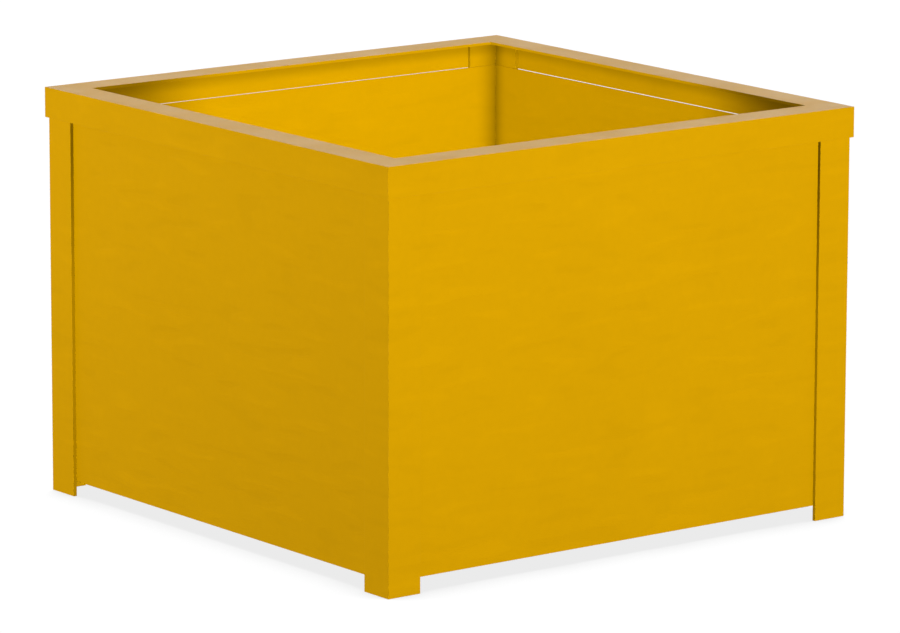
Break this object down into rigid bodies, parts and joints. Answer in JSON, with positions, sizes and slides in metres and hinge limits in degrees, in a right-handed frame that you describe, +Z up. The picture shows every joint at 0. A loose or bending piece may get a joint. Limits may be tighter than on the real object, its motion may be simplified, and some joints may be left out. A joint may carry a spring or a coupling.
{
  "type": "planter box",
  "caption": "Square steel street planter: angle-iron corner legs, flat sheet walls, mitred angle rim and a drained floor just above the ground.",
  "frame": {"origin": "on the ground, under the middle of the box", "axes": "+Z up; +X to the right and +Y to the back, both square to the walls; the front wall faces -Y"},
  "size_m": [1.212, 1.212, 0.875],
  "materials": {
    "leg_paint": "satin",
    "wall_paint": "satin",
    "rim_paint": "satin",
    "inner_paint": "satin",
    "floor_paint": "satin",
    "weld_paint": "satin"
  },
  "bodies": {
    "root": {"leg_front_left": "leg_paint", "leg_front_right": "leg_paint", "leg_back_right": "leg_paint", "leg_back_left": "leg_paint", "wall_front": "wall_paint", "wall_right": "wall_paint", "wall_back": "wall_paint", "wall_left": "wall_paint", "rim_front": "rim_paint", "rim_right": "rim_paint", "rim_back": "rim_paint", "rim_left": "rim_paint", "ledge_front": "inner_paint", "ledge_right": "inner_paint", "ledge_back": "inner_paint", "ledge_left": "inner_paint", "floor_bearer_1": "inner_paint", "floor_bearer_2": "inner_paint", "floor_bearer_3": "inner_paint", "floor_plate_left": "floor_paint", "floor_plate_right": "floor_paint", "welds_legs_to_walls": "weld_paint", "welds_ledges_to_walls": "weld_paint", "welds_bearers_to_ledges": "weld_paint"}
  },
  "joints": []
}
